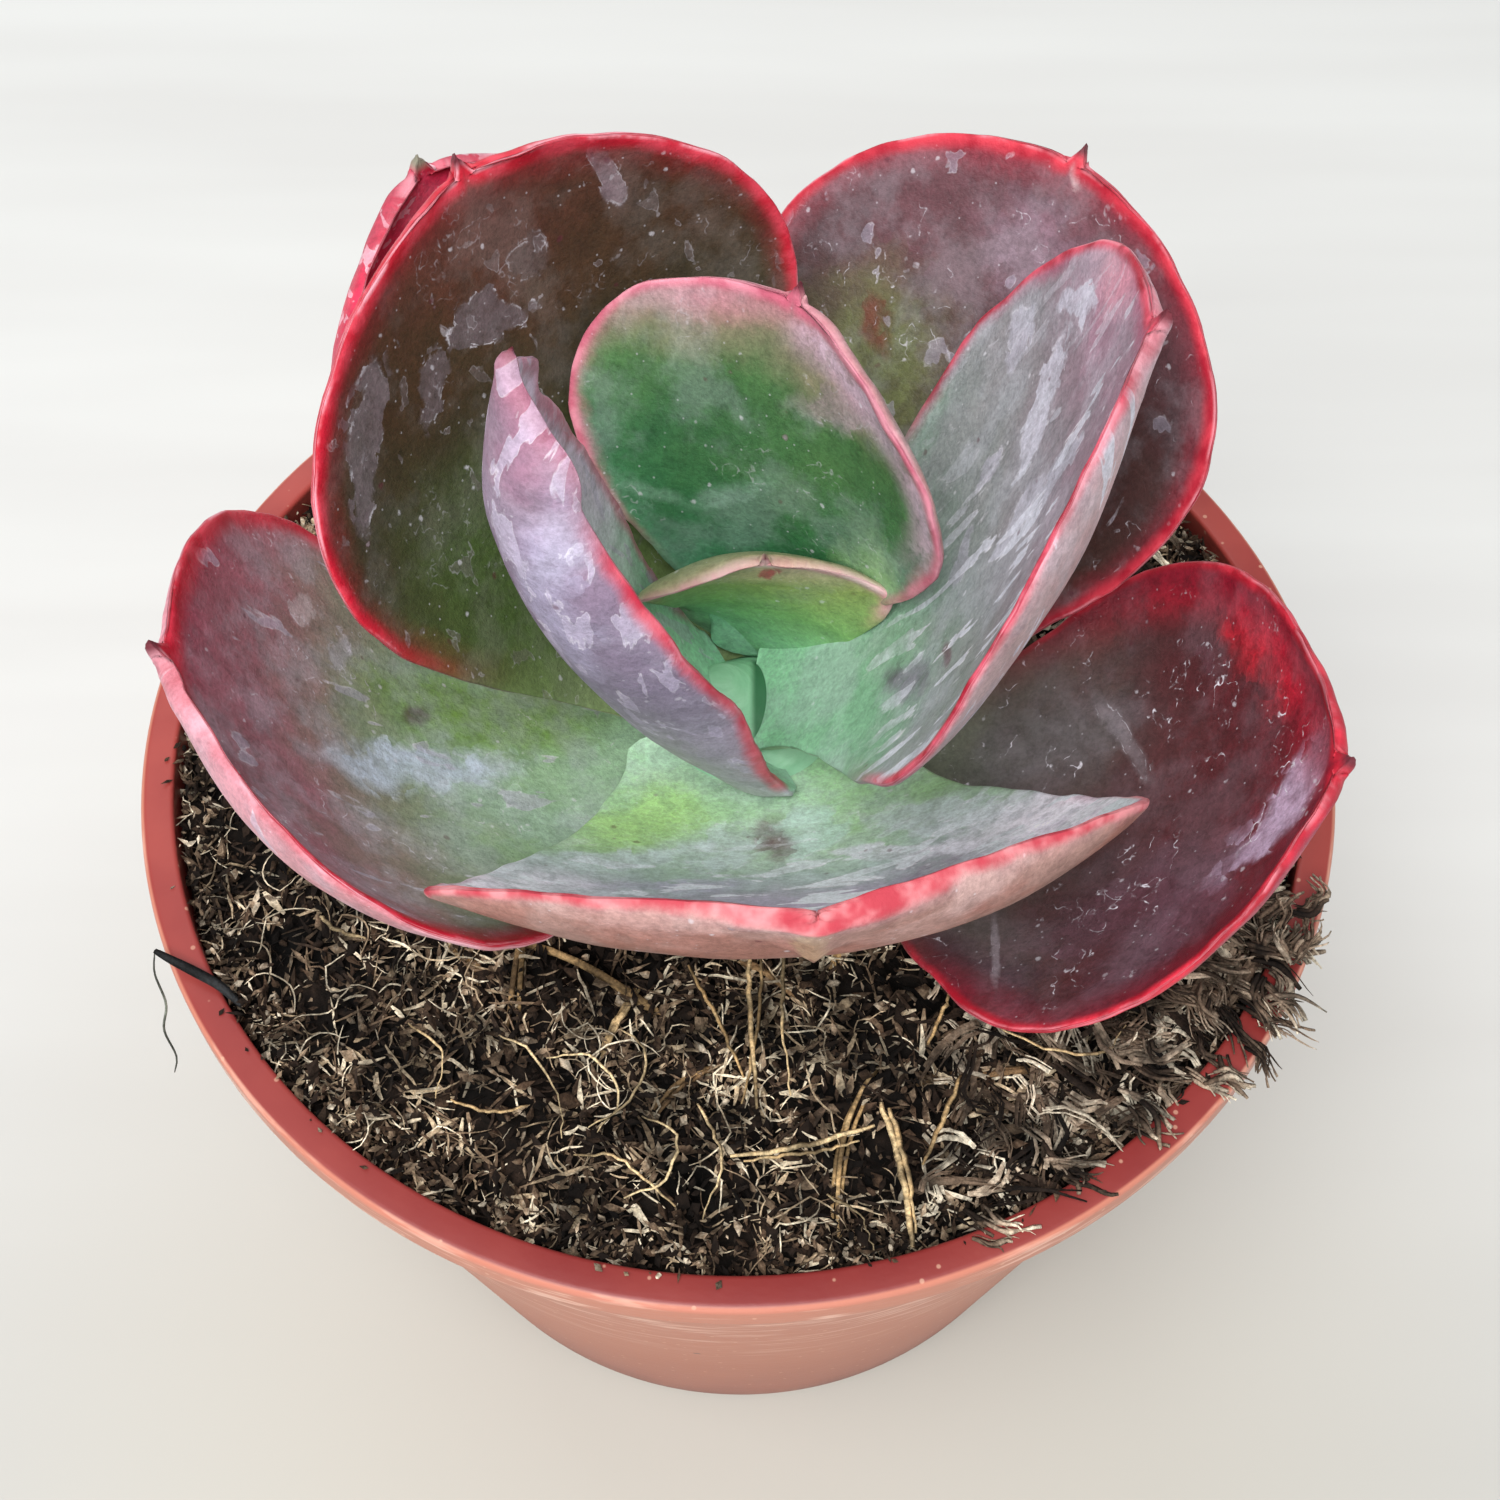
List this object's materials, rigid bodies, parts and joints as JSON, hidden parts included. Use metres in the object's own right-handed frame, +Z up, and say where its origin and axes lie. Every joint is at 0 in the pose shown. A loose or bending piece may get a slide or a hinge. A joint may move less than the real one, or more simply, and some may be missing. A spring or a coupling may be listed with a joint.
{
  "type": "potted echeveria",
  "caption": "Large red and green echeveria rosette with cupped fleshy leaves on a short stem, growing in fibrous peat in a round plastic nursery pot.",
  "frame": {"origin": "middle of the pot's foot, on the surface that it stands on", "axes": "+Z up, -Y towards the side that the picture is taken from"},
  "size_m": [0.12, 0.12, 0.1573],
  "materials": {
    "pot_plastic": "satin terracotta-coloured moulded plastic, scuffed and dusty below the lip",
    "peat": "matt dark brown fibrous peat with straw-coloured fibres",
    "stem": "dull green with brown leaf scars",
    "leaf_outer": "waxy maroon and mauve over green, bright red margin, satin",
    "leaf_inner": "pale lavender wax bloom over grey-green, red margin, satin",
    "leaf_young": "fresh green with a pink margin, satin"
  },
  "bodies": {
    "root": {"pot": "pot_plastic", "soil": "peat", "stem": "stem", "leaf_old_back": "leaf_outer", "leaf_right_front": "leaf_outer", "leaf_left_front": "leaf_outer", "leaf_back_right": "leaf_outer", "leaf_back_left": "leaf_outer", "leaf_front": "leaf_inner", "leaf_inner_right": "leaf_inner", "leaf_inner_left": "leaf_inner", "leaf_inner_back": "leaf_young", "leaf_centre": "leaf_young"}
  },
  "joints": []
}
